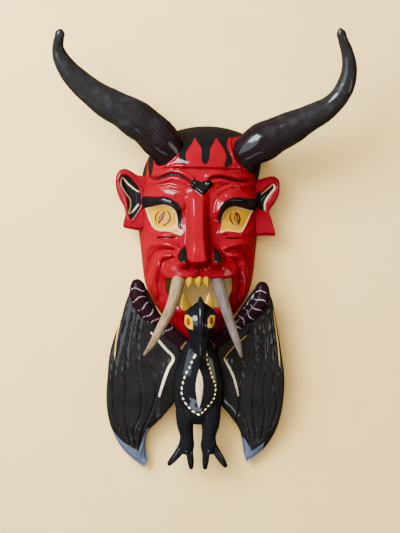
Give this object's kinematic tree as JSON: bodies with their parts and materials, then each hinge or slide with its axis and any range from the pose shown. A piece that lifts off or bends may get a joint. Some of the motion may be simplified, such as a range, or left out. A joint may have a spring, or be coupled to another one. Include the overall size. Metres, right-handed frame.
{
  "type": "devil mask",
  "caption": "Carved devil mask lying face up on the rim of its hollow shell, with curved horns, ears, tusks and a winged dragon beard.",
  "frame": {"origin": "on the floor plane under the middle of the whole mask's box, at the height of the shell's back rim", "axes": "+X across the face towards its left ear as it looks out, +Y from the chin towards the crown, +Z out of the face"},
  "size_m": [0.3796, 0.5632, 0.1321],
  "materials": {
    "red_lacquer": "glossy red lacquer on carved wood, with black and yellow painted parts",
    "black_lacquer": "glossy black lacquer on carved wood",
    "horn_black": "semi-gloss brown-black, with low rings near the base",
    "antler": "matt antler with a fine grain"
  },
  "bodies": {
    "root": {"mask": "red_lacquer", "ear_left": "red_lacquer", "ear_right": "red_lacquer", "horn_left": "horn_black", "horn_right": "horn_black", "tusk_left": "antler", "tusk_right": "antler", "dragon": "black_lacquer", "wing_left": "black_lacquer", "wing_right": "black_lacquer"}
  },
  "joints": []
}
